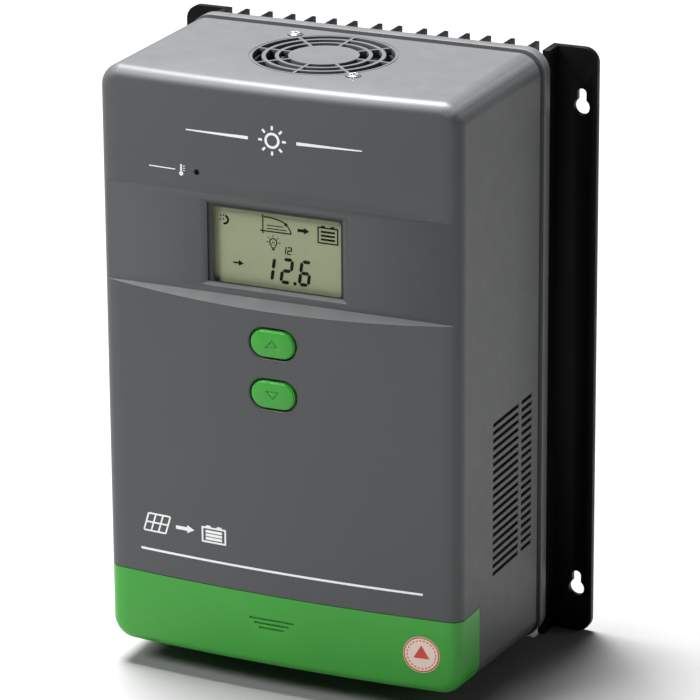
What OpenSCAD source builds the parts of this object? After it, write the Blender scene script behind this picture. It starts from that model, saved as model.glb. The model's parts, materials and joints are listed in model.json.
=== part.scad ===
/* [Overall] */
// Height of the heat sink extrusion, the tallest piece
sink_h = 266; // [255:1:275]
// Width over the two wall flanges
flange_w = 194; // [192:1:206]
// Depth from the wall plane to the crown of the front face
depth_all = 119; // [115:1:125]

/* [Front cover] */
// Width of the front cover
cover_w = 165; // [163:1:167]
// Top of the cover above the centre of the hole pattern
cover_top = 139; // [137:1:141]
// Lower front edge of the cover below the centre of the hole pattern
cover_drop = 119; // [117:1:121]
// How much further down the cover reaches at its rear edge
cover_draft = 6; // [4:1:7]
// How far the front face bulges at its middle
crown = 4.4; // [3:0.1:5]
// Outline corner radius
corner_r = 10; // [9:0.5:13]
// Rounding of the front edges
edge_r = 5.5; // [5:0.5:6]
// Wall thickness of the moulded cover
wall = 2.5; // [2.2:0.1:3]

/* [Terminal cover] */
// Seam between the two covers, below the centre of the hole pattern
seam_drop = 85.5; // [84:0.5:88]
// How far the terminal cover wraps round the sides
return_d = 21; // [19:1:23]
// Number of grip grooves
grip_count = 3; // [1:1:3]

/* [Display] */
// Width of the display opening
lcd_w = 62.4; // [58:0.1:64]
// Height of the display opening
lcd_h = 34.4; // [31:0.1:36]
// Height of the display centre
lcd_z = 66.8; // [65:0.1:67]
// Sideways offset of the display, the buttons and the fan
feature_x = -1; // [-2:0.5:0]

/* [Buttons] */
// Width of a button cap
btn_w = 20.2; // [19:0.1:22]
// Height of a button cap
btn_h = 11.9; // [11:0.1:14]
// Height of the upper button
btn_up_z = 27.5; // [26:0.5:29]
// Height of the lower button
btn_down_z = 5; // [3:0.5:6]
// Clearance round a button cap
btn_gap = 0.9; // [0.4:0.1:1]

/* [Side vents] */
// Rows of slots on each side
vent_rows = 20; // [10:1:20]
// Distance between rows
vent_pitch = 3.53; // [3.4:0.01:3.6]
// Height of one slot
vent_slot = 1.8; // [1.4:0.1:2]

/* [Fan] */
// Side of the square fan
fan_size = 60; // [60:1:60]
// Distance between the fan's corner holes
fan_pitch = 50; // [50:1:50]
// Number of fan blades
fan_blades = 7; // [5:1:9]

/* [Heat sink] */
// Distance between the keyholes, left to right
hole_dx = 180; // [178:1:181]
// Distance between the keyholes, top to bottom
hole_dz = 220; // [216:1:224]
// Radius of a keyhole's round part
key_r = 3.6; // [3.5:0.1:4]
// Half the width of a keyhole's slot
key_slot_r = 2.1; // [2:0.1:2.2]
// Thickness of one fin
fin_t = 1.8; // [1.4:0.1:2]

/* [Terminals] */
// Distance between the poles of the terminal block
pole_pitch = 23; // [22:0.5:23]
// Radius of a grommet's cable hole
cable_r = 4.5; // [3.5:0.1:5]

/* [Hidden] */
$fn = 48;
eps = 0.01;

// The wall plane is y = 0 and the front faces -Y.
front_y = -depth_all;
edge_y = front_y + crown;
cover_back = -31;
rim_front = -28;
frame_back = -22;
base_back = -16;
half_w = cover_w / 2;
cover_bottom = -cover_drop;
crown_r = (half_w * half_w + crown * crown) / (2 * crown);
seam_z = -seam_drop;
return_y = edge_y + return_d;
seam_gap = 0.35;

// Display band: a flat strip cut across the crowned front.
band_low = 45.3;
band_high = 88.6;
band_low_slope = 3.8;
band_high_slope = 5.8;
band_back = edge_y + wall;
bevel_d = 1.2;
window_y = edge_y + bevel_d + 0.7;
lcd_x = feature_x - 1;
bevel_x = 2.45;
bevel_z = 1.45;

fan_y = -66;
fan_top = cover_top - wall - 0.3;
fan_t = 15;
duct_r = 28.6;
guard_rings = [[15, 18.9], [20.5, 24.4], [26.1, 30]];
spoke_w = 1.2;
screw_seat_r = 3.5;
screw_seat_d = 0.5;

vent_top_z = -9.2;
vent_cols = [[-80.2, -52.3], [-49.2, -37.8]];

panel_y = -101;
panel_t = 1.6;
board_y = -44;
board_t = 1.6;
board_front = board_y - board_t;
sensor_x = -35.2;
sensor_z = 98.1;
display_posts = [[-41, -6, -116.2], [41, -6, -116.2], [-41, 92, -114], [41, 92, -114]];

sink_top = 136;
sink_bottom = sink_top - sink_h;
fin_x = [4.7, 16.4, 26.3, 36.4, 46.2, 57.2, 68.4];
side_x = 79;
side_t = 3;
base_top = 131;
base_bottom = -124;
flange_t = 3;
key_rise = 6;

post_x = 72.6;
post_z = [-110, 126];
window_x = 55;
window_z = [-35, 105];
standoff_x = 61;
standoff_z = [-66, 35, 112];
sink_screw_at = [[-61, -85], [61, -85], [-61, 75], [61, 75], [0, -60], [0, 120]];
tran_x = [-42, -14, 14, 42];
tran_z = [80, -5];
clamp_x = [-28, 0, 28];

poles = 6;
pole_x = [for (i = [0 : poles - 1]) (i - (poles - 1) / 2) * pole_pitch];
cable_y = -60;
entry_z = -124;
block_z = [-100, -72];
block_front = -79;
cage_z = [-98, -82];

btn_proud = 0.35;
btn_front = front_y - btn_proud;
stem_end = -106.5;

// Rounded rectangle in the X-Z plane
module rect_xz(x0, x1, z0, z1, r) {
  translate([x0 + r, z0]) square([x1 - x0 - 2 * r, z1 - z0]);
  translate([x0, z0 + r]) square([x1 - x0, z1 - z0 - 2 * r]);
  for (x = [x0 + r, x1 - r], z = [z0 + r, z1 - r]) translate([x, z]) circle(r);
}

// Extrudes a drawing in the X-Z plane from y0 back to y1
module slab(y0, y1) {
  translate([0, y1, 0]) rotate([90, 0, 0]) linear_extrude(y1 - y0) children();
}

// Straight pin along Y from y0 back to y1
module pin_y(x, z, r, y0, y1) {
  translate([x, y1, z]) rotate([90, 0, 0]) cylinder(r = r, h = y1 - y0);
}

// Outline with rounded ends, w wide and h high
module obround(w, h) {
  for (s = [-1, 1]) translate([s * (w - h) / 2, 0]) circle(h / 2);
  square([w - h, h], center = true);
}

// Closed box from one corner to the other
module span(low, high) {
  translate(low) cube(high - low);
}

// Cover outline at one inset, from the crowned front to behind the rear edge
module body_core() {
  r = corner_r - edge_r;
  x = half_w - edge_r;
  low = cover_bottom + edge_r;
  intersection() {
    hull() {
      slab(front_y, front_y + 1) rect_xz(-x, x, low, cover_top - edge_r, r, $fn = 32);
      slab(cover_back - 1, cover_back + 8)
        rect_xz(-x, x, low - cover_draft, cover_top - edge_r, r, $fn = 32);
    }
    translate([0, front_y + crown_r, -200])
      cylinder(r = crown_r - edge_r, h = 400, $fn = 720);
  }
}

module rounded_body(r) {
  minkowski() {
    body_core();
    sphere(r, $fn = 32);
  }
}

// Everything that the terminal cover takes up, grown by a gap
module terminal_zone(gap) {
  span([-100, front_y - 5, cover_bottom - 20], [100, return_y + gap, seam_z + gap]);
}

// Flat display band with its two sloping edges
module band_cut() {
  deep = crown + 2;
  rise = band_high_slope * deep / crown;
  fall = band_low_slope * deep / crown;
  translate([-100, 0, 0]) rotate([90, 0, 90]) linear_extrude(200) polygon([
    [edge_y, band_low], [edge_y, band_high],
    [edge_y - deep, band_high + rise], [edge_y - deep, band_low - fall]
  ]);
}

module display_opening() {
  sx = (lcd_w + 2 * bevel_x) / lcd_w;
  sz = (lcd_h + 2 * bevel_z) / lcd_h;
  translate([lcd_x, 0, lcd_z]) {
    translate([0, edge_y + bevel_d, 0]) rotate([90, 0, 0])
      linear_extrude(bevel_d, scale = [sx, sz]) square([lcd_w, lcd_h], center = true);
    slab(edge_y, band_back + 1) square([lcd_w, lcd_h], center = true);
    slab(edge_y - 1, edge_y + eps)
      square([lcd_w + 2 * bevel_x, lcd_h + 2 * bevel_z], center = true);
  }
}

// Hole round a button, with a chamfered edge
module button_opening(z) {
  w = btn_w + 2 * btn_gap;
  h = btn_h + 2 * btn_gap;
  edge = 0.8;
  translate([feature_x, 0, z]) {
    slab(front_y - 2, front_y + 6) obround(w, h);
    translate([0, front_y + edge, 0]) rotate([90, 0, 0])
      linear_extrude(2 * edge, scale = [(w + 4 * edge) / w, (h + 4 * edge) / h], slices = 1)
        obround(w, h);
  }
}

module fan_guard_slots() {
  translate([feature_x, fan_y, cover_top - wall - 1]) difference() {
    for (ring = guard_rings) difference() {
      cylinder(r = ring[1], h = wall + 2, $fn = 96);
      translate([0, 0, -1]) cylinder(r = ring[0], h = wall + 4, $fn = 96);
    }
    for (k = [0 : 3]) rotate(45 * k)
      translate([-40, -spoke_w / 2, -1]) cube([80, spoke_w, wall + 4]);
  }
  translate([feature_x, fan_y, cover_top - 0.3]) difference() {
    cylinder(r = 31.6, h = 1, $fn = 96);
    translate([0, 0, -1]) cylinder(r = 31.1, h = 3, $fn = 96);
  }
}

module vent_slots() {
  for (s = [-1, 1], i = [0 : vent_rows - 1], c = vent_cols)
    translate([s * (half_w - 2), (c[0] + c[1]) / 2, vent_top_z - i * vent_pitch])
      cube([8, c[1] - c[0], vent_slot], center = true);
}

// Part of a plate that follows the crown, seen from above as a ring
module crown_plate(near, far, z0, z1) {
  intersection() {
    translate([0, front_y + crown_r, z0]) difference() {
      cylinder(r = crown_r - near, h = z1 - z0, $fn = 720);
      translate([0, 0, -1]) cylinder(r = crown_r - far, h = z1 - z0 + 2, $fn = 720);
    }
    span([-half_w + 9, front_y, z0], [half_w - 9, front_y + 20, z1]);
  }
}

// Lip behind the seam, which the terminal cover laps over
module lap_lip() {
  far = wall + 1.7;
  near = wall + 0.3;
  crown_plate(near, far, seam_z - 3, seam_z + 4);
  crown_plate(wall - 0.3, far, seam_z + eps, seam_z + 4);
  for (s = [0, 1]) mirror([s, 0, 0]) {
    span([half_w - far, edge_y + 9, seam_z - 3], [half_w - near, return_y + 4, seam_z + 4]);
    span([half_w - far, return_y - 4, -108], [half_w - near, return_y + 4, seam_z]);
    span([half_w - far, edge_y + 9, seam_z + eps], [half_w - wall + 0.3, return_y + 4, seam_z + 4]);
    span([half_w - far, return_y + eps, -108], [half_w - wall + 0.3, return_y + 4, seam_z + 4]);
  }
}

module front_cover() {
  color("#5d5e61") difference() {
    union() {
      difference() {
        intersection() {
          rounded_body(edge_r);
          span([-100, front_y - 5, -200], [100, cover_back, 200]);
        }
        difference() {
          rounded_body(edge_r - wall);
          span([-100, front_y - 5, band_low - 7], [100, band_back, band_high + 10]);
        }
        terminal_zone(0);
      }
      lap_lip();
      span([pole_x[0] - 10, cable_y - 9, entry_z], [pole_x[poles - 1] + 10, cable_y + 9, -119.3]);
      for (s = [-1, 1]) {
        pin_y(s * post_x, post_z[1], 4, -114.5, cover_back);
        pin_y(s * post_x, post_z[0], 4, return_y, cover_back);
        span([s * post_x + (s < 0 ? -8 : 3), return_y, post_z[0] - 1],
             [s * post_x + (s < 0 ? -3 : 8), cover_back - 5, post_z[0] + 1]);
      }
      for (p = display_posts) pin_y(p[0], p[1], 3, p[2], panel_y);
    }
    band_cut();
    display_opening();
    for (z = [btn_up_z, btn_down_z]) button_opening(z);
    pin_y(sensor_x, sensor_z, 1.3, front_y - 2, front_y + 10);
    fan_guard_slots();
    for (s = [-1, 1]) translate([feature_x + s * fan_pitch / 2, fan_y - s * fan_pitch / 2, cover_top]) {
      translate([0, 0, -wall - 1]) cylinder(r = 2.1, h = wall + 2);
      translate([0, 0, -screw_seat_d]) cylinder(r = screw_seat_r, h = 2);
    }
    vent_slots();
    for (x = pole_x) translate([x, cable_y, cover_bottom - 10]) cylinder(r = 6.6, h = 16);
    for (s = [-1, 1], z = post_z) pin_y(s * post_x, z, 1.5, cover_back - 14, cover_back + 1);
    for (p = display_posts) pin_y(p[0], p[1], 1.1, panel_y - 8, panel_y + 1);
  }
}

module grip_grooves() {
  for (i = [0 : grip_count - 1]) translate([-3, 0, -97 - 2 * i])
    slab(front_y - 1, front_y + 0.9) obround(21 - 4.6 * i, 1);
}

module terminal_cover() {
  color("#42a042") difference() {
    intersection() {
      difference() {
        rounded_body(edge_r);
        rounded_body(edge_r - wall + 0.2);
      }
      terminal_zone(-seam_gap);
    }
    grip_grooves();
  }
}

// Outline of the rear frame, drawn in by an inset, with its lower edge raised by a lift
module frame_outline(inset, lift = 0) {
  x = half_w + 0.7 - inset;
  low = cover_bottom - cover_draft - 1.2 + inset + lift;
  rect_xz(-x, x, low, cover_top + 0.7 - inset, corner_r + 0.7 - inset);
}

module rear_frame() {
  color("#8b8d90") difference() {
    union() {
      slab(rim_front, frame_back) frame_outline(0);
      slab(-35, rim_front + 1) frame_outline(3.6, 1);
    }
    slab(-36, -25) frame_outline(5.6, 1);
    span([-window_x, -30, window_z[0]], [window_x, 0, window_z[1]]);
    for (s = [-1, 1], z = post_z) pin_y(s * post_x, z, 1.8, -30, -20);
    for (s = [-1, 1], z = standoff_z) pin_y(s * standoff_x, z, 1.5, -30, -20);
    for (p = sink_screw_at) pin_y(p[0], p[1], 1.7, -30, -20);
  }
}

module gasket() {
  color("#1d1e20") difference() {
    slab(cover_back, rim_front) frame_outline(2.5);
    slab(cover_back - 1, rim_front + 1) frame_outline(3.5);
  }
}

// Keyhole with its narrow end up
module keyhole(x, z) {
  pin_y(x, z, key_r, -flange_t - 1, 1);
  pin_y(x, z + key_rise, key_slot_r, -flange_t - 1, 1);
  span([x - key_slot_r, -flange_t - 1, z], [x + key_slot_r, 1, z + key_rise]);
}

module heat_sink() {
  x = flange_w / 2;
  color("#17181a") difference() {
    union() {
      span([-side_x, frame_back, sink_bottom], [side_x, base_back, sink_top]);
      for (s = [-1, 1]) {
        span([s < 0 ? -side_x : side_x - side_t, frame_back, sink_bottom],
             [s < 0 ? -side_x + side_t : side_x, 0, sink_top]);
        for (f = fin_x) span([s * f - fin_t / 2, base_back - eps, sink_bottom],
                             [s * f + fin_t / 2, 0, sink_top]);
      }
      difference() {
        slab(-flange_t, 0) rect_xz(-x, x, sink_bottom, sink_top, 6.5);
        span([-side_x + 1, -10, -200], [side_x - 1, 10, 200]);
      }
    }
    span([-100, -30, base_top], [100, -13, 200]);
    span([-100, -30, -200], [100, -13, base_bottom]);
    for (s = [-1, 1], z = [-hole_dz / 2, hole_dz / 2]) keyhole(s * hole_dx / 2, z);
    for (s = [-1, 1], z = post_z) pin_y(s * post_x, z, 1.8, -30, -10);
    for (p = sink_screw_at) pin_y(p[0], p[1], 1.5, -30, -17);
    for (x = clamp_x, z = tran_z) pin_y(x, z, 1.5, -30, -17);
  }
}

module display_window() {
  color("#dfe6e2", 0.4) translate([lcd_x, 0, lcd_z]) {
    slab(window_y, band_back) square([lcd_w - 0.2, lcd_h - 0.2], center = true);
    slab(band_back, band_back + 1) square([66, 39], center = true);
  }
}

module lcd_bezel() {
  color("#c9cbc8") translate([lcd_x, 0, lcd_z]) difference() {
    slab(band_back + 1.1, panel_y) square([70, 43], center = true);
    slab(band_back + 1.8, panel_y + 1) square([65.6, 39], center = true);
    slab(band_back, panel_y) square([64.2, 37.4], center = true);
  }
}

module lcd_glass() {
  color("#a5aa8c") translate([lcd_x, 0, lcd_z])
    slab(band_back + 1.9, band_back + 4.3) square([65.2, 38.6], center = true);
}

module lcd_backlight() {
  color("#e9efe4") translate([lcd_x, 0, lcd_z])
    slab(band_back + 4.5, band_back + 7.5) square([65.2, 38.6], center = true);
}

module display_board() {
  color("#2c6b3a") difference() {
    slab(panel_y, panel_y + panel_t) rect_xz(-45, 45, -12, 102, 2);
    for (p = display_posts) pin_y(p[0], p[1], 1.4, panel_y - 1, panel_y + 3);
  }
}

// Screw along Y: head towards +Y (dir = 1) or -Y (dir = -1), seated at y
module screw_y(x, z, y, dir, r, len, head_r, head_t) {
  tip = y - dir * len;
  crest = y + dir * head_t;
  pin_y(x, z, r, min(y, tip), max(y, tip));
  difference() {
    pin_y(x, z, head_r, min(y, crest), max(y, crest));
    for (a = [0, 90]) translate([x, crest, z]) rotate([0, a, 0])
      cube([head_r * 1.1, head_t, head_r * 0.24], center = true);
  }
}

module display_screws() {
  color("#b9bcc0")
    for (p = display_posts) screw_y(p[0], p[1], panel_y + panel_t, 1, 1.1, 7, 2.4, 1.4);
}

// Triangle outline cut in a button cap, pointing up (s = 1) or down (s = -1)
module triangle_groove(s) {
  slab(btn_front - 1, btn_front + 0.5) difference() {
    polygon([[-3.4, -s * 1.8], [3.4, -s * 1.8], [0, s * 2.1]]);
    polygon([[-1.9, -s * 1], [1.9, -s * 1], [0, s * 1.15]]);
  }
}

module button(z, s) {
  color("#46a546") translate([feature_x, 0, z]) difference() {
    union() {
      slab(btn_front + 0.6, front_y + 3.4) obround(btn_w, btn_h);
      slab(btn_front, btn_front + 0.6) obround(btn_w - 1, btn_h - 1);
      slab(front_y + 2.9, front_y + 4.1) obround(btn_w + 3.4, btn_h + 3.4);
      pin_y(0, 0, 2, front_y + 4, stem_end);
    }
    triangle_groove(s);
  }
}

module up_button() {
  button(btn_up_z, 1);
}

module down_button() {
  button(btn_down_z, -1);
}

module plunger(z) {
  color("#d8d4c8") pin_y(feature_x, z, 1.6, stem_end, -103.2);
}

module up_plunger() {
  plunger(btn_up_z);
}

module down_plunger() {
  plunger(btn_down_z);
}

module switch_bodies() {
  color("#26282b") for (z = [btn_up_z, btn_down_z]) translate([feature_x, 0, z]) difference() {
    slab(-104.6, panel_y) square([6, 6], center = true);
    pin_y(0, 0, 1.8, -105, -101.6);
  }
}

module temp_sensor() {
  color("#202225") pin_y(sensor_x, sensor_z, 1.1, front_y + 2.2, panel_y);
}

module fan_frame() {
  bottom = fan_top - fan_t;
  color("#1b1c1e") translate([feature_x, fan_y, 0]) {
    difference() {
      translate([0, 0, bottom]) linear_extrude(fan_t) {
        square([fan_size - 6, fan_size], center = true);
        square([fan_size, fan_size - 6], center = true);
        for (x = [-1, 1], y = [-1, 1])
          translate([x, y] * (fan_size / 2 - 3)) circle(3);
      }
      translate([0, 0, bottom - 1]) cylinder(r = duct_r, h = fan_t + 2, $fn = 96);
      for (x = [-1, 1], y = [-1, 1]) translate([x * fan_pitch / 2, y * fan_pitch / 2, bottom - 1])
        cylinder(r = 1.9, h = fan_t + 2);
    }
    translate([0, 0, bottom]) difference() {
      union() {
        cylinder(r = 14.4, h = 1.8);
        cylinder(r = 3.6, h = 9.6);
        for (a = [45, 135]) rotate(a) translate([-29.2, -1.5, 0]) cube([58.4, 3, 1.8]);
      }
      translate([0, 0, 1]) cylinder(r = 1.53, h = 12);
    }
  }
}

module fan_rotor() {
  bottom = fan_top - fan_t;
  color("#25272a") translate([feature_x, fan_y, bottom]) {
    difference() {
      translate([0, 0, 2.6]) cylinder(r = 14.2, h = 10.8, $fn = 96);
      translate([0, 0, 2]) cylinder(r = 12.4, h = 9.4, $fn = 96);
    }
    translate([0, 0, 1.4]) cylinder(r = 1.5, h = 11);
    intersection() {
      difference() {
        translate([0, 0, 2.8]) cylinder(r = 27.4, h = 10.2, $fn = 96);
        cylinder(r = 14, h = 20, $fn = 96);
      }
      for (i = [0 : fan_blades - 1]) rotate(360 / fan_blades * i)
        translate([20.5, 0, 8]) rotate([34, 0, 0]) cube([16, 17, 1.1], center = true);
    }
  }
}

module fan_stator() {
  bottom = fan_top - fan_t;
  color("#8a5a2b") translate([feature_x, fan_y, bottom + 2.4]) difference() {
    cylinder(r = 11.2, h = 6);
    translate([0, 0, -1]) cylinder(r = 3.6, h = 8);
    for (a = [0, 90]) rotate(a) translate([-15, -1.2, -1]) difference() {
      cube([30, 2.4, 8]);
      translate([9, -1, -1]) cube([12, 5, 10]);
    }
  }
}

module fan_screws() {
  color("#d5d7da") for (s = [-1, 1])
    translate([feature_x + s * fan_pitch / 2, fan_y - s * fan_pitch / 2, cover_top]) difference() {
      union() {
        translate([0, 0, -14]) cylinder(r = 1.9, h = 14);
        translate([0, 0, -screw_seat_d]) cylinder(r = 3.1, h = 1);
        cylinder(r = 2.6, h = 0.9);
      }
      for (a = [0, 90]) rotate(a) translate([0, 0, 0.9]) cube([3.6, 0.8, 1.6], center = true);
    }
}

module fan_lead() {
  bend = 4;
  drop = fan_top - fan_t - 111 - bend;
  color("#a0281f") for (x = [24, 26.2]) translate([x, -58, 111]) {
    translate([0, 0, bend]) cylinder(r = 0.8, h = drop);
    translate([0, bend, bend]) rotate([90, 0, -90]) rotate_extrude(angle = 90)
      translate([bend, 0]) circle(0.8);
    translate([0, bend, 0]) rotate([-90, 0, 0]) cylinder(r = 0.8, h = 2);
  }
}

module main_board() {
  color("#24603a") difference() {
    slab(board_front, board_y) rect_xz(-66, 66, -104, 117, 3);
    for (s = [-1, 1], z = standoff_z) pin_y(s * standoff_x, z, 1.7, -60, -30);
  }
}

module board_standoffs() {
  color("#c2a14a") for (s = [-1, 1], z = standoff_z) difference() {
    pin_y(s * standoff_x, z, 3.2, board_y, -25);
    pin_y(s * standoff_x, z, 1.3, board_y - 1, board_y + 8);
  }
}

module board_screws() {
  color("#b9bcc0") for (s = [-1, 1], z = standoff_z)
    screw_y(s * standoff_x, z, board_front, -1, 1.3, 8, 2.8, 1.8);
}

module toroid(r_in, r_out, h) {
  difference() {
    cylinder(r = r_out, h = h, center = true, $fn = 64);
    cylinder(r = r_in, h = h + 1, center = true, $fn = 64);
  }
}

module at_inductors() {
  for (x = [-36, 36]) translate([x, board_front - 13, 62]) rotate([90, 0, 0]) children();
}

module inductor_cores() {
  color("#d9c23a") at_inductors() toroid(10, 20, 16);
}

module inductor_windings() {
  turns = 24;
  color("#b8692e") at_inductors() for (i = [0 : turns - 1]) rotate(360 / turns * i)
    translate([15, 0, 0]) rotate([90, 0, 0]) difference() {
      cube([13.4, 19.4, 1.5], center = true);
      cube([10.1, 16.1, 2], center = true);
    }
}

module capacitors() {
  color("#2b3140") for (x = [-50, -29, -8], z = [-30, -52]) {
    difference() {
      pin_y(x, z, 9, board_front - 36, board_front - 1);
      for (a = [0, 90]) translate([x, board_front - 36, z]) rotate([0, a, 0])
        cube([12, 0.8, 0.5], center = true);
    }
    for (s = [-1, 1]) pin_y(x + s * 3.7, z, 0.5, board_front - 1 - eps, board_front);
  }
}

module power_transistors() {
  color("#1c1d20") for (x = tran_x, z = tran_z) {
    difference() {
      span([x - 8, -27.5, z - 10.5], [x + 8, -22.5, z + 10.5]);
      pin_y(x, z + 6.5, 1.7, -28, -22);
    }
    for (k = [-1, 0, 1]) translate([x + 5.4 * k, 0, z - 10.5]) {
      span([-0.6, -25.4, -4], [0.6, -24.8, eps]);
      span([-0.6, board_y, -4.6], [0.6, -24.8, -4]);
    }
  }
}

module thermal_pads() {
  color("#b7bcc4") for (z = tran_z) difference() {
    span([-52, -22.5, z - 11.5], [52, frame_back, z + 11.5]);
    for (x = clamp_x) pin_y(x, z, 1.9, -23, -21);
  }
}

module clamp_bars() {
  color("#aeb2b7") for (z = tran_z) difference() {
    span([-54, -30, z - 5], [54, -27.5, z + 5]);
    for (x = clamp_x) pin_y(x, z, 1.7, -31, -27);
  }
}

module clamp_screws() {
  color("#9ea2a8") for (x = clamp_x, z = tran_z) screw_y(x, z, -30, -1, 1.5, 12.5, 2.9, 2);
}

module control_chip() {
  color("#191a1c") translate([46, 0, -34]) {
    slab(board_front - 1.8, board_front - 0.3) square([14, 14], center = true);
    for (a = [0 : 3], i = [-5 : 5]) rotate([0, 90 * a, 0])
      translate([i * 1.15, board_front - 0.6, 7.9]) cube([0.5, 1.2, 2], center = true);
  }
}

module current_shunts() {
  color("#b98a5a") for (x = [18, 38]) translate([x, board_front - 8, -60]) {
    rotate([90, 0, 0]) rotate([0, 0, 0]) rotate([-90, 0, 0])
      rotate([180, 0, 0]) rotate([90, 0, 0]) rotate_extrude(angle = 180)
        translate([7, 0]) circle(1.2);
    for (s = [-1, 1]) translate([s * 7, 0, 0]) rotate([-90, 0, 0]) cylinder(r = 1.2, h = 8);
  }
}

// Sagging strip between the two boards, as a row of points along its length
function sag(t) = 5 * sin(180 * t);

module ribbon_cable() {
  y0 = panel_y + panel_t + 6;
  y1 = board_front - 6;
  n = 24;
  top = [for (i = [0 : n]) [y0 + (y1 - y0) * i / n, -2 - sag(i / n)]];
  low = [for (i = [0 : n]) [y1 - (y1 - y0) * i / n, -2.7 - sag(1 - i / n)]];
  color("#8f959c") translate([15, 0, 0]) rotate([90, 0, 90])
    linear_extrude(20) polygon(concat(top, low));
}

module cable_headers() {
  color("#e6e3da") {
    span([14, panel_y + panel_t, -5], [36, panel_y + panel_t + 6, 0]);
    span([14, board_front - 6, -5], [36, board_front, 0]);
    span([21, board_front - 6.4, 108], [29, board_front, 114]);
  }
}

module terminal_block() {
  color("#2f6d3b") difference() {
    span([pole_x[0] - 11.3, block_front, block_z[0]],
         [pole_x[poles - 1] + 11.3, board_front, block_z[1]]);
    for (x = pole_x) {
      span([x - 7.7, -72, block_z[0] - 1], [x + 7.7, -54, cage_z[1] + 0.2]);
      pin_y(x, -90, 4.4, block_front - 1, -71);
    }
    for (i = [0 : poles]) translate([(i - poles / 2) * pole_pitch, block_front, 0])
      cube([1.2, 3, 100 * 2], center = true);
  }
}

module terminal_clamps() {
  color("#c9ccd0") for (x = pole_x) difference() {
    span([x - 7.5, -71.8, cage_z[0]], [x + 7.5, -54.2, cage_z[1]]);
    span([x - 5.7, -69.8, cage_z[0] - 1], [x + 5.7, -56, cage_z[1] + 1]);
    pin_y(x, -90, 3.05, -73, -69);
  }
}

module terminal_screws() {
  color("#d9dbde") for (x = pole_x) {
    pin_y(x, -90, 3, -74, -66);
    difference() {
      pin_y(x, -90, 4, -77, -74);
      translate([x, -77, -90]) cube([8.4, 2.4, 1.3], center = true);
    }
  }
}

module cable_grommets() {
  color("#141517") for (x = pole_x) translate([x, cable_y, 0]) difference() {
    union() {
      translate([0, 0, -125.6]) cylinder(r = 8, h = 1.4);
      translate([0, 0, -124.3]) cylinder(r = 6.4, h = 5.1);
      translate([0, 0, -119.3]) cylinder(r = 8, h = 1.4);
    }
    translate([0, 0, -126]) cylinder(r = cable_r, h = 9);
  }
}

module chassis_screws() {
  color("#a4a8ae") for (s = [-1, 1], z = post_z)
    screw_y(s * post_x, z, base_back, 1, 1.5, 28, 2.9, 2.2);
}

module sink_screws() {
  color("#a4a8ae") for (p = sink_screw_at) screw_y(p[0], p[1], -25, -1, 1.5, 8, 3, 2.2);
}

front_cover();
terminal_cover();
rear_frame();
gasket();
heat_sink();
display_window();
lcd_bezel();
lcd_glass();
lcd_backlight();
display_board();
display_screws();
up_button();
down_button();
up_plunger();
down_plunger();
switch_bodies();
temp_sensor();
fan_frame();
fan_rotor();
fan_stator();
fan_screws();
fan_lead();
main_board();
board_standoffs();
board_screws();
inductor_cores();
inductor_windings();
capacitors();
power_transistors();
thermal_pads();
clamp_bars();
clamp_screws();
control_chip();
current_shunts();
ribbon_cable();
cable_headers();
terminal_block();
terminal_clamps();
terminal_screws();
cable_grommets();
chassis_screws();
sink_screws();
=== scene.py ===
import json
import math
import bmesh
import bpy
from mathutils import Matrix, Vector


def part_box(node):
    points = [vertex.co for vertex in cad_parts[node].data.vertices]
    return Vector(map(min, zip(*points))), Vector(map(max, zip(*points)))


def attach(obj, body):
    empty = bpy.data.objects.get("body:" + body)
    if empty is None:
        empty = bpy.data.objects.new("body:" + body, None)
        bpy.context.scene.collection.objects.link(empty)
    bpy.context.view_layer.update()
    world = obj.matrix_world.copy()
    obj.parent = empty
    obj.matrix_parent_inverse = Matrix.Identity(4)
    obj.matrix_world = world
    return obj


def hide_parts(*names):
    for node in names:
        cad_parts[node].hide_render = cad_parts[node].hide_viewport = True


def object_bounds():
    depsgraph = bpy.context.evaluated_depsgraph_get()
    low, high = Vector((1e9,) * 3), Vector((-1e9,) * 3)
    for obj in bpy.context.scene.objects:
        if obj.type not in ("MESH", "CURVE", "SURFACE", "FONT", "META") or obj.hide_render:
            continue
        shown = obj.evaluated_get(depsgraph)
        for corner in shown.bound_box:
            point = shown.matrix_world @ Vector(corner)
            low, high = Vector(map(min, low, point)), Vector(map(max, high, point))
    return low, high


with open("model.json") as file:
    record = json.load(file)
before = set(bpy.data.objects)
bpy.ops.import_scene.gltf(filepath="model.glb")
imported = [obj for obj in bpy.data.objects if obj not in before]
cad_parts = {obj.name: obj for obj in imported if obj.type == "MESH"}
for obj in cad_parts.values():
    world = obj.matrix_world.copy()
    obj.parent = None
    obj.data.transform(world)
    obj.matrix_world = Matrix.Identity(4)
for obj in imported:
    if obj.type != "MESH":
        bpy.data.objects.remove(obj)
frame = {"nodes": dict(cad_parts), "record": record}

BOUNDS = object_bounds()
MM = 0.001
NODES = frame["nodes"]


# ---------------------------------------------------------------- materials
def linear(r, g, b):
    """sRGB 0-255 to linear."""
    out = []
    for v in (r, g, b):
        v /= 255
        out.append(v / 12.92 if v <= 0.04045 else ((v + 0.055) / 1.055) ** 2.4)
    return (*out, 1)


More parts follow.
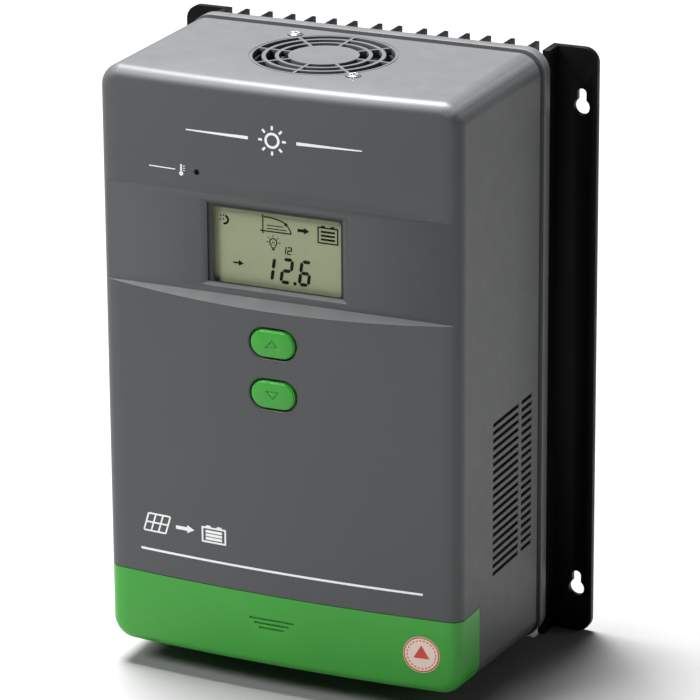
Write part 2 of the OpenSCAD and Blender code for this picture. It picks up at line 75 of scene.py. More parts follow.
class Net:
    """A small wrapper round a node tree."""

    def __init__(self, mat):
        mat.use_nodes = True
        self.tree = mat.node_tree
        self.tree.nodes.clear()
        self.out = self.add("ShaderNodeOutputMaterial")
        self.coords = self.add("ShaderNodeTexCoord").outputs["Object"]

    def add(self, kind, **sets):
        node = self.tree.nodes.new(kind)
        for key, value in sets.items():
            setattr(node, key, value)
        return node

    def link(self, a, b):
        self.tree.links.new(a, b)

    def noise(self, scale, detail=3.0, rough=0.55, stretch=None):
        tex = self.add("ShaderNodeTexNoise")
        tex.inputs["Scale"].default_value = scale
        tex.inputs["Detail"].default_value = detail
        tex.inputs["Roughness"].default_value = rough
        source = self.coords
        if stretch:
            mapping = self.add("ShaderNodeMapping")
            mapping.inputs["Scale"].default_value = stretch
            self.link(source, mapping.inputs["Vector"])
            source = mapping.outputs["Vector"]
        self.link(source, tex.inputs["Vector"])
        return tex.outputs["Fac"]

    def span(self, value, low, high, start=0.3, stop=0.7):
        node = self.add("ShaderNodeMapRange")
        node.inputs["From Min"].default_value = start
        node.inputs["From Max"].default_value = stop
        node.inputs["To Min"].default_value = low
        node.inputs["To Max"].default_value = high
        self.link(value, node.inputs["Value"])
        return node.outputs["Result"]

    def mix(self, fac, a, b):
        node = self.add("ShaderNodeMix", data_type="RGBA")
        self.link(fac, node.inputs["Factor"])
        for socket, value in ((node.inputs["A"], a), (node.inputs["B"], b)):
            if isinstance(value, tuple):
                socket.default_value = value
            else:
                self.link(value, socket)
        return node.outputs["Result"]

    def bump(self, height, strength, distance, below=None):
        node = self.add("ShaderNodeBump")
        node.inputs["Strength"].default_value = strength
        node.inputs["Distance"].default_value = distance
        self.link(height, node.inputs["Height"])
        if below is not None:
            self.link(below, node.inputs["Normal"])
        return node.outputs["Normal"]


def scaled(color, k):
    return (min(color[0] * k, 1), min(color[1] * k, 1), min(color[2] * k, 1), 1)


def finish_mat(name, color, rough, tone, tone_scale, wear, metallic=0.0, grain=None, streak=None,
               coat=0.0, specular=0.5, second=None):
    """Base colour that varies, roughness that varies, a fine bump and lighter, worn edges."""
    mat = bpy.data.materials.new(name)
    net = Net(mat)
    shader = net.add("ShaderNodeBsdfPrincipled")
    net.link(shader.outputs[0], net.out.inputs[0])
    broad = net.noise(tone_scale, 4)
    body = net.mix(net.span(broad, 0, 1), scaled(color, 1 - tone), scaled(color, 1 + tone))
    if second:
        other, scale, amount = second
        body = net.mix(net.span(net.noise(scale, 6), 0, amount, 0.5, 0.62), body, other)
    attr = net.add("ShaderNodeAttribute", attribute_name="wear")
    rub = net.add("ShaderNodeMath", operation="MULTIPLY")
    net.link(attr.outputs["Fac"], rub.inputs[0])
    net.link(net.span(net.noise(380, 4), 0.15, 1.0), rub.inputs[1])
    body = net.mix(rub.outputs[0], body, scaled(color, wear))
    net.link(body, shader.inputs["Base Color"])
    net.link(net.span(net.noise(140, 5), rough[0], rough[1]), shader.inputs["Roughness"])
    normal = None
    if grain:
        scale, strength, distance = grain
        normal = net.bump(net.noise(scale, 2.5, 0.6), strength, distance)
    if streak:
        scale, strength, distance, axis = streak
        stretch = [1, 1, 1]
        stretch["xyz".index(axis)] = 0.006
        normal = net.bump(net.noise(scale, 3, 0.6, stretch), strength, distance, normal)
    if normal is not None:
        net.link(normal, shader.inputs["Normal"])
    shader.inputs["Metallic"].default_value = metallic
    shader.inputs["Specular IOR Level"].default_value = specular
    shader.inputs["IOR"].default_value = 1.5
    shader.inputs["Coat Weight"].default_value = coat
    shader.inputs["Coat Roughness"].default_value = 0.12
    return mat


COVER = finish_mat("moulded_grey", linear(74, 75.5, 77), (0.45, 0.51), tone=0.015, tone_scale=25,
                   grain=(3200, 0.16, 0.00006), wear=1.12, specular=0.42)
GREEN = finish_mat("moulded_green", linear(48, 152, 42), (0.36, 0.44), tone=0.03, tone_scale=30,
                   grain=(3200, 0.14, 0.00006), wear=1.2)
KEY_GREEN = finish_mat("button_green", linear(50, 152, 44), (0.3, 0.38), tone=0.03, tone_scale=60,
                       grain=(3600, 0.1, 0.00005), wear=1.2)
RIM = finish_mat("frame_grey", linear(76, 77, 79), (0.42, 0.52), tone=0.03, tone_scale=40,
                 grain=(3000, 0.16, 0.00006), wear=1.3)
SEAL = finish_mat("seal_rubber", linear(9, 10, 11), (0.7, 0.82), tone=0.15, tone_scale=200,
                  grain=(2200, 0.3, 0.0001), wear=1.2, specular=0.3)
ANODISED = finish_mat("black_anodised", linear(7, 7, 8), (0.4, 0.52), tone=0.15, tone_scale=60,
                      grain=(4200, 0.12, 0.00004), streak=(1500, 0.35, 0.00008, "z"), wear=2.6,
                      specular=0.14)
BLACK = finish_mat("black_plastic", linear(24, 25, 27), (0.4, 0.52), tone=0.1, tone_scale=120,
                   grain=(3000, 0.2, 0.00006), wear=1.6)
# Black plastic made darker than the other black plastic: partly the fan's own black, partly painted
# shade for the inside of the fan housing.
FAN_BLACK_AND_SHADE = finish_mat("fan_black_and_shade", linear(9, 9, 10), (0.5, 0.62), tone=0.1, tone_scale=120,
                       grain=(3000, 0.2, 0.00006), wear=2.0, specular=0.2)
STEEL = finish_mat("bright_steel", linear(200, 202, 205), (0.16, 0.28), metallic=1.0, tone=0.04,
                   tone_scale=400, grain=(5000, 0.1, 0.00003), wear=1.1)
ZINC = finish_mat("zinc_steel", linear(168, 171, 176), (0.28, 0.42), metallic=1.0, tone=0.08,
                  tone_scale=300, grain=(4000, 0.16, 0.00004), wear=1.15)
TIN = finish_mat("tinned_steel", linear(188, 190, 194), (0.3, 0.44), metallic=1.0, tone=0.07,
                 tone_scale=240, grain=(3000, 0.18, 0.00005), wear=1.15)
BOARD = finish_mat("solder_mask", linear(24, 84, 46), (0.28, 0.38), tone=0.12, tone_scale=50,
                   grain=(1800, 0.12, 0.00005), second=(linear(34, 104, 58), 330, 0.8), wear=1.5)
BRASS = finish_mat("turned_brass", linear(190, 156, 84), (0.24, 0.36), metallic=1.0, tone=0.08,
                   tone_scale=300, grain=(3600, 0.14, 0.00004), wear=1.2)
COPPER = finish_mat("enamelled_copper", linear(176, 94, 44), (0.2, 0.3), metallic=0.85, tone=0.12,
                    tone_scale=260, grain=(2600, 0.1, 0.00004), wear=1.2, coat=0.4)
CORE = finish_mat("coated_core", linear(206, 186, 58), (0.42, 0.55), tone=0.08, tone_scale=160,
                  grain=(1500, 0.3, 0.0001), second=(linear(168, 150, 44), 500, 0.5), wear=1.15)
CAN = finish_mat("capacitor_sleeve", linear(40, 46, 66), (0.24, 0.34), tone=0.08, tone_scale=120,
                 grain=(1400, 0.1, 0.00005), wear=1.4, coat=0.3)
PAD = finish_mat("thermal_pad", linear(176, 184, 192), (0.6, 0.75), tone=0.06, tone_scale=200,
                 grain=(2000, 0.3, 0.00008), wear=1.1)
ALLOY = finish_mat("brushed_alloy", linear(170, 173, 178), (0.3, 0.42), metallic=1.0, tone=0.06,
                   tone_scale=200, streak=(2600, 0.3, 0.00005, "x"), wear=1.15)
SLEEVE = finish_mat("wire_sleeve", linear(168, 40, 32), (0.35, 0.5), tone=0.08, tone_scale=300,
                    grain=(1800, 0.15, 0.00005), wear=1.2)
RIBBON = finish_mat("ribbon_sleeve", linear(140, 144, 150), (0.4, 0.5), tone=0.05, tone_scale=200,
                    streak=(1600, 0.8, 0.0003, "y"), wear=1.1)
IVORY = finish_mat("ivory_plastic", linear(222, 218, 204), (0.4, 0.5), tone=0.04, tone_scale=160,
                   grain=(2600, 0.14, 0.00005), wear=1.05)
BLOCK = finish_mat("terminal_green", linear(44, 112, 62), (0.4, 0.5), tone=0.06, tone_scale=120,
                   grain=(2800, 0.18, 0.00006), wear=1.35)
GUIDE = finish_mat("light_guide", linear(232, 238, 222), (0.2, 0.3), tone=0.03, tone_scale=200,
                   grain=(2000, 0.1, 0.00005), wear=1.05)
LCD = finish_mat("lcd_reflector", linear(160, 167, 134), (0.38, 0.46), tone=0.02, tone_scale=26,
                 grain=(6000, 0.06, 0.00002), wear=1.0, specular=0.15)
INK = finish_mat("lcd_ink", linear(9, 10, 7), (0.5, 0.6), tone=0.08, tone_scale=300,
                 grain=(5000, 0.05, 0.00002), wear=1.0, specular=0.05)
PRINT = finish_mat("white_ink", linear(236, 237, 238), (0.42, 0.55), tone=0.03, tone_scale=500,
                   grain=(4200, 0.2, 0.00004), wear=1.0)
LABEL = finish_mat("label_paper", linear(222, 204, 190), (0.32, 0.42), tone=0.03, tone_scale=300,
                   grain=(2600, 0.1, 0.00004), wear=1.0, coat=0.2)
LABEL_RED = finish_mat("label_red", linear(196, 52, 30), (0.32, 0.42), tone=0.05, tone_scale=400,
                       grain=(2600, 0.1, 0.00004), wear=1.0, coat=0.2)


def clear_mat():
    """Thin clear acrylic: mostly transparent, with a soft gloss."""
    mat = bpy.data.materials.new("clear_acrylic")
    net = Net(mat)
    shader = net.add("ShaderNodeBsdfPrincipled")
    net.link(shader.outputs[0], net.out.inputs[0])
    tint = net.mix(net.span(net.noise(40, 3), 0, 1), linear(60, 66, 60), linear(76, 82, 76))
    net.link(tint, shader.inputs["Base Color"])
    net.link(net.span(net.noise(240, 4), 0.04, 0.09), shader.inputs["Roughness"])
    net.link(net.bump(net.noise(900, 3), 0.02, 0.00002), shader.inputs["Normal"])
    shader.inputs["Alpha"].default_value = 0.05
    shader.inputs["Specular IOR Level"].default_value = 0.5
    return mat


CLEAR = clear_mat()


# ---------------------------------------------------------------- the covers' smooth shape
CB_LOW, CB_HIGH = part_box("front_cover")
HALF = CB_HIGH.x
TOP = CB_HIGH.z
FRONT = CB_LOW.y
EDGE_R = 5.5 * MM
CORNER_R = 10 * MM
CROWN = 4.4 * MM
CROWN_R = (HALF * HALF + CROWN * CROWN) / (2 * CROWN)
BOTTOM = -0.119
DRAFT = 6 * MM
DRAFT_RUN = 86 * MM
ON_SURFACE = 0.12 * MM


def crown_y(x):
    """The front face at x."""
    return FRONT + CROWN_R - math.sqrt(CROWN_R ** 2 - x * x)


def shell_normal(p):
    """The covers' outer normal at a point, and how far the point is off the outer surface."""
    run = min(max((p.y - FRONT - MM) / DRAFT_RUN, 0), 1)
    low = BOTTOM - DRAFT * run + EDGE_R
    high = TOP - EDGE_R
    side = HALF - EDGE_R
    r = CORNER_R - EDGE_R
    qx = min(max(p.x, -side), side)
    qz = min(max(p.z, low), high)
    cx = max(abs(qx) - (side - r), 0)
    cz = qz - (high - r) if qz > high - r else min(qz - (low + r), 0)
    reach = math.hypot(cx, cz)
    if cx > 0 and cz != 0 and reach > r:
        qx = math.copysign(side - r + cx * r / reach, qx)
        qz = (high - r if cz > 0 else low + r) + cz * r / reach
    qy = max(p.y, FRONT + CROWN_R - math.sqrt((CROWN_R - EDGE_R) ** 2 - qx * qx))
    d = Vector((p.x - qx, p.y - qy, p.z - qz))
    off = abs(d.length - EDGE_R)
    lean = qx / (CROWN_R - EDGE_R)
    n = Vector((d.x - d.y * lean, d.y * math.sqrt(1 - lean * lean), d.z))
    if d.z < 0 and 0 < run < 1:
        n.y += d.z * DRAFT / DRAFT_RUN
    if n.length < 1e-9:
        return Vector((0, -1, 0)), 1.0
    return n.normalized(), off


# ---------------------------------------------------------------- pieces from CAD nodes
def new_mesh(name, bm, mat):
    mesh = bpy.data.meshes.new(name)
    bm.to_mesh(mesh)
    bm.free()
    mesh.materials.append(mat)
    return mesh


def new_object(name, data):
    obj = bpy.data.objects.new(name, data)
    bpy.context.scene.collection.objects.link(obj)
    return obj


def place(obj, body):
    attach(obj, body)
    return obj


def middle(node):
    low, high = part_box(node)
    return (low + high) / 2


BODY_OF = {n: b for b, ns in frame["record"]["behaviour"]["bodies"].items() for n in ns}
SLOT_OF = {s["node"]: s["material_slot"] for s in frame["record"]["subparts"]}
WELD = 2e-6
FLAT_ANGLE = math.radians(0.25)
BEVEL_ANGLE = math.radians(28)
SMOOTH_ANGLE = math.radians(40)


def refined(node, mat, bevel, rule):
    """A copy of a CAD node with clean flat faces, small rounded edges and smooth curved faces."""
    bm = bmesh.new()
    bm.from_mesh(NODES[node].data)
    bmesh.ops.remove_doubles(bm, verts=bm.verts, dist=WELD)
    bmesh.ops.dissolve_limit(bm, angle_limit=FLAT_ANGLE, verts=bm.verts, edges=bm.edges)
    wear = bm.loops.layers.float.new("wear")
    sharp = [e for e in bm.edges if e.is_manifold and e.calc_face_angle(0) > BEVEL_ANGLE]
    made = bmesh.ops.bevel(bm, geom=sharp, offset=bevel, segments=2, profile=0.5, affect="EDGES",
                           clamp_overlap=True)
    for face in made["faces"]:
        for loop in face.loops:
            loop[wear] = 1
    bmesh.ops.triangulate(bm, faces=[f for f in bm.faces if len(f.verts) > 4])
    for face in bm.faces:
        face.smooth = True
    mesh = new_mesh(node + "_piece", bm, mat)
    mesh.set_sharp_from_angle(angle=SMOOTH_ANGLE)
    if rule:
        apply_normals(mesh, rule)
    obj = new_object(node + "_piece", mesh)
    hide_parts(node)
    place(obj, BODY_OF[node])


def apply_normals(mesh, rule):
    """Takes exact normals where a face lies on the smooth shape."""
    corner = [Vector(c.vector) for c in mesh.corner_normals]
    known = [rule(v.co) for v in mesh.vertices]
    for poly in mesh.polygons:
        fits = all(known[mesh.loops[i].vertex_index][1] < ON_SURFACE for i in poly.loop_indices)
        limit = 0.95 if fits else 0.55
        for i in poly.loop_indices:
            n, off = known[mesh.loops[i].vertex_index]
            if off < ON_SURFACE and poly.normal.dot(n) > limit:
                corner[i] = n
    mesh.normals_split_custom_set(corner)


SURFACES = {
    "front_cover": (COVER, 0.22, shell_normal), "terminal_cover": (GREEN, 0.25, shell_normal),
    "rear_frame": (RIM, 0.5, None), "gasket": (SEAL, 0.3, None),
    "heat_sink": (ANODISED, 0.25, None), "up_button": (KEY_GREEN, 0.22, None),
    "down_button": (KEY_GREEN, 0.22, None), "temp_sensor": (BLACK, 0.2, None),
    "fan_frame": (FAN_BLACK_AND_SHADE, 0.3, None), "fan_screws": (ZINC, 0.12, None),
    "cable_grommets": (SEAL, 0.4, None), "terminal_block": (BLOCK, 0.35, None),
    "terminal_clamps": (TIN, 0.25, None), "terminal_screws": (STEEL, 0.2, None),
    "chassis_screws": (ZINC, 0.15, None), "sink_screws": (ZINC, 0.15, None),
    "display_window": (CLEAR, 0.12, None), "lcd_bezel": (TIN, 0.15, None),
    "display_board": (BOARD, 0.1, None), "main_board": (BOARD, 0.12, None),
    "capacitors": (CAN, 0.5, None), "power_transistors": (BLACK, 0.25, None),
    "inductor_cores": (CORE, 1.2, None), "board_standoffs": (BRASS, 0.15, None),
    "board_screws": (ZINC, 0.12, None), "display_screws": (ZINC, 0.1, None),
    "clamp_bars": (ALLOY, 0.25, None), "clamp_screws": (ZINC, 0.12, None),
    "cable_headers": (IVORY, 0.15, None), "switch_bodies": (BLACK, 0.12, None),
    "control_chip": (BLACK, 0.08, None), "fan_stator": (COPPER, 0.3, None),
}
PLAIN = {
    "lcd_glass": LCD, "lcd_backlight": GUIDE, "up_plunger": IVORY, "down_plunger": IVORY,
    "fan_lead": SLEEVE, "thermal_pads": PAD, "current_shunts": COPPER, "ribbon_cable": RIBBON,
}
for node, (mat, bevel, rule) in SURFACES.items():
    refined(node, mat, bevel * MM, rule)
for node, mat in PLAIN.items():
    data = NODES[node].data
    if data.materials:
        for i in range(len(data.materials)):
            NODES[node].material_slots[i].material = mat
    else:
        data.materials.append(mat)


# ---------------------------------------------------------------- drawn marks
STRIP = 4 * MM


class Marks:
    """Flat shapes in the X-Z plane, in millimetres, made into thin solids."""

    def __init__(self):
        self.shapes = []

    def poly(self, points):
        self.shapes.append([Vector((x, z)) for x, z in points])

    def bar(self, a, b, width):
        a, b = Vector(a), Vector(b)
        side = (b - a).normalized()
        side = Vector((-side.y, side.x)) * width / 2
        self.poly([a - side, b - side, b + side, a + side])

    def path(self, points, width):
        for a, b in zip(points, points[1:]):
            step = (Vector(b) - Vector(a)).normalized() * width * 0.3
            self.bar(Vector(a) - step, Vector(b) + step, width)

    def arc(self, x, z, r, start, stop, width, steps=20):
        pts = []
        for i in range(steps + 1):
            t = math.radians(start + (stop - start) * i / steps)
            pts.append((math.cos(t), math.sin(t)))
        for (c0, s0), (c1, s1) in zip(pts, pts[1:]):
            lo, hi = r - width / 2, r + width / 2
            self.poly([(x + lo * c0, z + lo * s0), (x + hi * c0, z + hi * s0),
                       (x + hi * c1, z + hi * s1), (x + lo * c1, z + lo * s1)])

    def disc(self, x, z, r, steps):
        turn = [2 * math.pi * i / steps for i in range(steps)]
        self.poly([(x + r * math.cos(t), z + r * math.sin(t)) for t in turn])

    def build(self, name, mat, body, slot_name, y_of, thick):
        """Cuts the shapes into strips that follow y_of, the rule for their back face."""
        bm = bmesh.new()
        for points in self.shapes:
            area = sum(a.x * b.y - b.x * a.y for a, b in zip(points, points[1:] + points[:1]))
            if area < 0:
                points = points[::-1]
            bm.faces.new([bm.verts.new((p.x * MM, 0, p.y * MM)) for p in points])
        xs = [v.co.x for v in bm.verts]
        if max(xs) - min(xs) > STRIP:
            x = math.ceil(min(xs) / STRIP) * STRIP
            while x < max(xs):
                geom = bm.verts[:] + bm.edges[:] + bm.faces[:]
                bmesh.ops.bisect_plane(bm, geom=geom, plane_co=(x, 0, 0), plane_no=(1, 0, 0))
                x += STRIP
        base = bm.faces[:]
        made = bmesh.ops.extrude_face_region(bm, geom=base, use_keep_orig=True)
        back = {v for v in made["geom"] if isinstance(v, bmesh.types.BMVert)}
        for v in bm.verts:
            v.co.y = y_of(v.co.x, v.co.z) - (0 if v in back else thick)
        bmesh.ops.recalc_face_normals(bm, faces=bm.faces)
        place(new_object(name, new_mesh(name, bm, mat)), body)


DIGIT_LEAN = 0.14


def seven_segment(marks, char, x, z, w, h, t):
    """One slanted digit made of the seven usual bars."""
    lit = {"1": "bc", "2": "abged", "6": "afgedc"}[char]
    half = h / 2
    gap = 0.16

    def put(points):
        marks.poly([(x + px + (pz - half) * DIGIT_LEAN, z + pz) for px, pz in points])

    def flat(y):
        put([(gap + t / 2, y), (gap + t, y + t / 2), (w - gap - t, y + t / 2), (w - gap - t / 2, y),
             (w - gap - t, y - t / 2), (gap + t, y - t / 2)])

    def tall(px, low, high):
        put([(px, low + gap), (px + t / 2, low + gap + t / 2), (px + t / 2, high - gap - t / 2),
             (px, high - gap), (px - t / 2, high - gap - t / 2), (px - t / 2, low + gap + t / 2)])

    for bar, z0 in (("a", h - t / 2), ("g", half), ("d", t / 2)):
        if bar in lit:
            flat(z0)
    for bar, x0, low, high in (("b", w - t / 2, half, h - t / 2), ("f", t / 2, half, h - t / 2),
                               ("c", w - t / 2, t / 2, half), ("e", t / 2, t / 2, half)):
        if bar in lit:
            tall(x0, low, high)


def arrow(marks, x0, x1, z, width, head):
    """An arrow that points to +X."""
    marks.bar((x0, z), (x1 - head, z), width)
    marks.poly([(x1 - head * 1.15, z - head * 0.62), (x1, z), (x1 - head * 1.15, z + head * 0.62)])


def battery(marks, x0, x1, z0, z1, line, bars):
    """A box with two terminals and a stack of charge bars."""
    marks.path([(x0, z0), (x1, z0), (x1, z1), (x0, z1), (x0, z0)], line)
    w = x1 - x0
    for cx in (x0 + w * 0.26, x0 + w * 0.74):
        marks.poly([(cx - w * 0.13, z1), (cx + w * 0.13, z1),
                    (cx + w * 0.09, z1 + w * 0.1), (cx - w * 0.09, z1 + w * 0.1)])
    step = (z1 - z0) / (bars + 1)
    for i in range(bars):
        z = z0 + step * (i + 0.95)
        marks.bar((x0 + w * 0.14, z), (x1 - w * 0.14, z), line * 1.5)


def small_digit(marks, char, x, z, w, h, t):
    """One slanted digit drawn as a single line."""
    shapes = {"1": [(w * 0.6, 0), (w * 0.6, h)],
              "2": [(0, h), (w, h), (w, h / 2), (0, h / 2), (0, 0), (w, 0)]}
    marks.path([(x + px + pz * DIGIT_LEAN, z + pz) for px, pz in shapes[char]], t)


def lcd_marks():
    """The display: a moon, a curve, a battery, a lamp, arrows and plain numbers."""
    m = Marks()
    m.arc(-26.7, 76.4, 1.75, -105, 75, 0.95)
    for x, z in ((-28.3, 77.9), (-27.1, 76.6), (-28.6, 76.3), (-27.0, 78.3)):
        m.disc(x, z, 0.4, steps=8)
    m.bar((-8.9, 72.6), (-8.9, 81), 0.55)
    m.bar((-10.2, 73.8), (4.2, 73.8), 0.55)
    m.path([(-8.3, 79.9), (-5.1, 79.8), (-2.0, 79.3), (0.2, 78.6), (1.7, 77.7), (2.9, 76.4), (3.7, 75),
            (4.0, 73.8)], 0.55)
    m.disc(1.7, 77.6, 0.75, steps=12)
    m.bar((-7.1, 75), (1.9, 75), 0.4)
    m.bar((-7.1, 76.4), (0.5, 76.4), 0.4)
    arrow(m, 7.0, 12.5, 75.9, 1.3, 2.3)
    battery(m, 16.4, 25.3, 71.8, 78.4, 0.6, 3)
    lamp_x, lamp_z = -4.2, 69.2
    m.arc(lamp_x, lamp_z, 1.65, -50, 230, 0.5)
    m.path([(-5.25, 67.95), (-4.85, 66.8), (-3.55, 66.8), (-3.15, 67.95)], 0.4)
    m.bar((-4.8, 66.1), (-3.6, 66.1), 0.75)
    m.path([(-4.8, 68.6), (-4.5, 69.3), (-3.9, 69.3), (-3.6, 68.6)], 0.26)
    for a in (0, 42, 90, 138, 180):
        c, s = math.cos(math.radians(a)), math.sin(math.radians(a))
        m.bar((lamp_x + 2.35 * c, lamp_z + 2.35 * s), (lamp_x + 3.3 * c, lamp_z + 3.3 * s), 0.35)
    arrow(m, -22.8, -17.9, 58.2, 0.75, 2.1)
    for char, x in (("1", 0.4), ("2", 2.3)):
        small_digit(m, char, x, 64.9, 1.5, 2.9, 0.5)
    for char, x in (("1", -9.2), ("2", -0.9), ("6", 7.5)):
        seven_segment(m, char, x, 51.7, 5.6, 11.5, 1.5)
    m.disc(5.6, 52.4, 0.8, steps=12)
    return m


FILM_GAP = 0.004 * MM
GLASS_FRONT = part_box("lcd_glass")[0].y
WINDOW_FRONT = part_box("display_window")[0].y
lcd_marks().build("lcd_segments", INK, "housing", "lcd_glass",
                  lambda x, z: GLASS_FRONT - 0.05 * MM, 0.02 * MM)


def window_shade_sheet():
    """Painted shade: a black border on the window for the shaded inner walls of the opening."""
    m = Marks()
    mid = middle("display_window") / MM
    half_w, half_h = 31.1, 17.1
    x0, x1, z0, z1 = mid.x - half_w, mid.x + half_w, mid.z - half_h, mid.z + half_h
    # Wider at the left and top, where the opening's inner walls fall in shade: painted shade.
    left, right, low, top, r = 2.2, 1.2, 0.3, 1.4, 1.4
    m.poly([(x0, z0), (x0 + left, z0), (x0 + left, z1), (x0, z1)])
    m.poly([(x1 - right, z0), (x1, z0), (x1, z1), (x1 - right, z1)])
    m.poly([(x0 + left, z1 - top), (x1 - right, z1 - top), (x1 - right, z1), (x0 + left, z1)])
    m.poly([(x0 + left, z0), (x1 - right, z0), (x1 - right, z0 + low), (x0 + left, z0 + low)])
    for cx, sx in ((x0 + left, 1), (x1 - right, -1)):
        for cz, sz in ((z0 + low, 1), (z1 - top, -1)):
            for i in range(6):
                a, b = math.radians(15 * i), math.radians(15 * i + 15)
                m.poly([(cx, cz), (cx + sx * r * (1 - math.sin(a)), cz + sz * r * (1 - math.cos(a))),
                        (cx + sx * r * (1 - math.sin(b)), cz + sz * r * (1 - math.cos(b)))])
    return m


# A black sheet in front of the window that paints the shade of the opening's inner walls.
window_shade_sheet().build("window_shade_sheet", BLACK, "housing", SLOT_OF["display_window"],
                    lambda x, z: WINDOW_FRONT - FILM_GAP, 0.02 * MM)


def on_crown(lift):
    """A rule that puts marks just in front of the crowned face."""
    return lambda x, z: crown_y(x) - lift


def face_marks():
    """Plain printed symbols: a sun, a panel, an arrow, a battery, a rule and a thermometer."""
    m = Marks()
    sun_z = 116
    m.arc(0, sun_z, 2.9, 0, 360, 1.1, 40)
    for i in range(8):
        a = math.radians(45 * i)
        c, s = math.cos(a), math.sin(a)
        m.bar((4.5 * c, sun_z + 4.5 * s), (6.3 * c, sun_z + 6.3 * s), 1.0)
    for s in (-1, 1):
        m.poly([(s * 11, 115.3), (s * 40, 115.75), (s * 40, 116.25), (s * 11, 116.7)])
    panel_x, row_z = -64.5, -66
    for i in range(4):
        x = panel_x + i * 3.6 + 0.02
        m.bar((x, row_z), (x + 2.5, row_z + 8), 0.75)
    for j in range(3):
        x, z = panel_x + j * 1.25, row_z + 4 * j
        m.bar((x, z), (x + 10.8, z), 0.75)
    arrow(m, -48.5, -39.5, row_z + 4, 1.6, 3)
    battery(m, -35.5, -24.5, row_z, -59.6, 0.8, 3)
    m.bar((-66, -74.6), (66, -74.6), 1.0)
    bulb_x = -42.6
    m.path([(bulb_x, 97), (bulb_x, 100.4)], 0.8)
    m.disc(bulb_x, 96.6, 0.95, steps=20)
    for i in range(3):
        m.bar((-41.7, 98 + i), (-40.8, 98 + i), 0.3)
    m.bar((-58, 98.1), (-45.4, 98.1), 0.45)
    return m


face_marks().build("face_prints", PRINT, "housing", "cover_plastic", on_crown(FILM_GAP), 0.03 * MM)


def sticker():
    """A plain round label with a ring, dashes and a triangle."""
    x, z = 65.4, -101.8
    base = Marks()
    base.disc(x, z, 8.1, steps=64)
    base.build("sticker_base", LABEL, "lower_cover", "green_plastic", on_crown(FILM_GAP), 0.06 * MM)
    marks = Marks()
    marks.arc(x, z, 7.6, 0, 360, 0.6, 56)
    for i in range(24):
        marks.arc(x, z, 6.3, 15 * i, 15 * i + 9, 0.5, 2)
    marks.poly([(x - 3.6, z - 1.7), (x + 3.6, z - 1.7), (x, z + 4.3)])
    marks.build("sticker_marks", LABEL_RED, "lower_cover", "green_plastic", on_crown(0.066 * MM),
                0.015 * MM)


sticker()


# ---------------------------------------------------------------- fan rotor
def joined(name, bm, mat, body, smooth):
    """A piece that is smooth up to an angle in degrees."""
    bmesh.ops.recalc_face_normals(bm, faces=bm.faces)
    for face in bm.faces:
        face.smooth = True
    mesh = new_mesh(name, bm, mat)
    mesh.set_sharp_from_angle(angle=math.radians(smooth))
    return place(new_object(name, mesh), body)


def lathe(bm, profile, cx, cy, steps):
    """Turns a list of (radius, z) points round a vertical axis."""
    turn = [2 * math.pi * i / steps for i in range(steps)]
    rings = []
    for r, z in profile:
        if r == 0:
            rings.append([bm.verts.new((cx, cy, z))])
        else:
            rings.append([bm.verts.new((cx + r * math.cos(t), cy + r * math.sin(t), z)) for t in turn])
    for a, b in zip(rings, rings[1:]):
        for i in range(steps):
            j = (i + 1) % steps
            if len(a) == 1:
                bm.faces.new((a[0], b[i], b[j]))
            elif len(b) == 1:
                bm.faces.new((a[i], b[0], a[j]))
            else:
                bm.faces.new((a[i], b[i], b[j], a[j]))


def fan_rotor():
    """A cup-shaped hub on a thin shaft, with twisted, cambered blades."""
    low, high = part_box("fan_rotor")
    axis = middle("fan_frame")
    cx, cy, top = axis.x, axis.y, high.z
    hub, root, tip = 14.2 * MM, 13.6 * MM, 27.3 * MM
    bm = bmesh.new()
    lathe(bm, [(0, top - 0.5 * MM), (2 * MM, top - 0.5 * MM), (2.4 * MM, top - 0.15 * MM),
               (11.6 * MM, top - 0.05 * MM), (12.4 * MM, top), (13.4 * MM, top - 0.3 * MM),
               (hub, top - 1.2 * MM), (hub, top - 10.6 * MM), (hub - 0.4 * MM, top - 10.8 * MM),
               (12.5 * MM, top - 10.8 * MM), (12.4 * MM, top - 10.5 * MM), (12.4 * MM, top - 2.2 * MM),
               (1.5 * MM, top - 2 * MM), (1.5 * MM, low.z), (0, low.z)], cx, cy, 72)
    blades, steps, chord = 7, 10, 12
    for k in range(blades):
        grid = []
        for side in (-1, 1):
            rows = []
            for i in range(steps + 1):
                t = i / steps
                r = root + (tip - root) * t
                width = math.radians(44 - 8 * t)
                row = []
                for j in range(chord + 1):
                    s = j / chord
                    a = 2 * math.pi * k / blades + (s - 0.5) * width + 0.42 * t
                    camber = math.sin(math.pi * s) * 1.1 * MM
                    thick = 0.5 * MM * max(math.sin(math.pi * (0.08 + 0.84 * s)), 0.2)
                    z = top - 5.6 * MM + (0.5 - s) * (9.2 - 1.4 * t) * MM + camber + side * thick
                    row.append(bm.verts.new((cx + r * math.cos(a), cy + r * math.sin(a), z)))
                rows.append(row)
            grid.append(rows)
        under, over = grid
        for i in range(steps):
            for j in range(chord):
                bm.faces.new((over[i][j], over[i + 1][j], over[i + 1][j + 1], over[i][j + 1]))
                bm.faces.new((under[i][j], under[i][j + 1], under[i + 1][j + 1], under[i + 1][j]))
        for i in range(steps):
            for j, flip in ((0, False), (chord, True)):
                quad = [under[i][j], under[i + 1][j], over[i + 1][j], over[i][j]]
                bm.faces.new(quad[::-1] if flip else quad)
        for j in range(chord):
            for i, flip in ((0, True), (steps, False)):
                quad = [under[i][j], under[i][j + 1], over[i][j + 1], over[i][j]]
                bm.faces.new(quad[::-1] if flip else quad)
    obj = joined("fan_rotor_piece", bm, FAN_BLACK_AND_SHADE, "rotor", 50)
    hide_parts("fan_rotor")


fan_rotor()


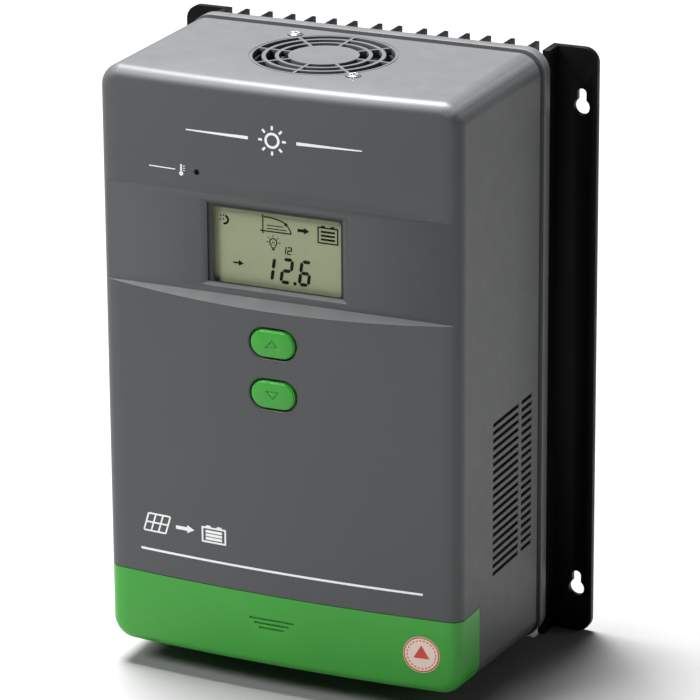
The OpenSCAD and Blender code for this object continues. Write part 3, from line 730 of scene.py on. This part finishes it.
# ---------------------------------------------------------------- inductor coils
def coils():
    """Round copper wire wound on each core, with turns of nearly square section."""
    mid = middle("inductor_cores")
    bm = bmesh.new()
    turns, per, ring = 26, 28, 8
    total = turns * per
    around = [2 * math.pi * k / ring for k in range(ring)]
    wire, core_r, half_w, half_h = 0.62 * MM, 15 * MM, 5.75 * MM, 8.8 * MM

    def squared(v):
        return math.copysign(abs(v) ** 0.35, v)

    for cx in (-36 * MM, 36 * MM):
        path = []
        for i in range(total):
            phi = 2 * math.pi * i / per
            theta = 2 * math.pi * i / total
            rad = core_r + squared(math.cos(phi)) * half_w
            off = squared(math.sin(phi)) * half_h
            path.append(Vector((cx + rad * math.cos(theta), mid.y + off, mid.z + rad * math.sin(theta))))
        rings = []
        for i, p in enumerate(path):
            along = (path[(i + 1) % total] - path[i - 1]).normalized()
            theta = 2 * math.pi * i / total
            tangent = Vector((-math.sin(theta), 0, math.cos(theta)))
            u = (tangent - along * tangent.dot(along)).normalized()
            v = along.cross(u)
            rings.append([bm.verts.new(p + (u * math.cos(t) + v * math.sin(t)) * wire) for t in around])
        for i in range(total):
            a, b = rings[i], rings[(i + 1) % total]
            for k in range(ring):
                m = (k + 1) % ring
                bm.faces.new((a[k], b[k], b[m], a[m]))
    obj = joined("inductor_windings_piece", bm, COPPER, "housing", 60)
    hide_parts("inductor_windings")


coils()


# ---------------------------------------------------------------- stage, light and camera
def floor():
    """Pale paper just under the lowest point."""
    mesh = bpy.data.meshes.new("floor")
    z = BOUNDS[0][2] - 0.4 * MM
    s = 9
    mesh.from_pydata([(-s, -s, z), (s, -s, z), (s, s, z), (-s, s, z)], [], [(0, 1, 2, 3)])
    mesh.materials.append(finish_mat("floor_paper", (0.25, 0.25, 0.25, 1), (0.75, 0.85), tone=0.004,
                                     tone_scale=3, grain=(300, 0.03, 0.0002), wear=1.0, specular=0.1))
    obj = new_object("floor", mesh)


def area_light(name, at, target, size, power):
    data = bpy.data.lights.new(name, "AREA")
    data.shape = "RECTANGLE"
    data.size, data.size_y = size
    data.energy = power
    obj = new_object(name, data)
    obj.location = at
    obj.rotation_euler = (Vector(target) - Vector(at)).to_track_quat("-Z", "Y").to_euler()


floor()
area_light("key", (-1.3, -1.5, 1.9), (0, -0.05, 0), (1.0, 1.0), 62)
area_light("fill", (2.3, 1.0, 0.7), (0, -0.05, 0), (1.0, 1.2), 7)
area_light("top", (-0.9, 0.5, 4.0), (0, 0.2, 0), (1.8, 1.8), 820)
world = bpy.data.worlds.new("studio")
world.use_nodes = True
background = world.node_tree.nodes["Background"]
background.inputs["Color"].default_value = (1, 1, 1, 1)
background.inputs["Strength"].default_value = 0.05
bpy.context.scene.world = world
bpy.context.scene.view_settings.view_transform = "Standard"


def camera():
    """A long lens that looks down on the object from its right."""
    yaw, pitch, roll = (math.radians(a) for a in (25.718, 18.309, -0.67))
    ahead = Vector((-math.sin(yaw) * math.cos(pitch), math.cos(yaw) * math.cos(pitch), -math.sin(pitch)))
    right = Vector((math.cos(yaw), math.sin(yaw), 0))
    up = right.cross(ahead)
    r = right * math.cos(roll) + up * math.sin(roll)
    u = -right * math.sin(roll) + up * math.cos(roll)
    data = bpy.data.cameras.new("camera")
    data.sensor_width = 36
    data.lens = 222.2
    data.shift_x = 0.1
    data.shift_y = -0.1
    data.clip_start = 0.05
    data.clip_end = 60
    obj = new_object("camera", data)
    turn = Matrix((r, u, -ahead)).transposed().to_4x4()
    obj.matrix_world = Matrix.Translation((0.7388, -1.6468, 0.6175)) @ turn
    bpy.context.scene.camera = obj


camera()
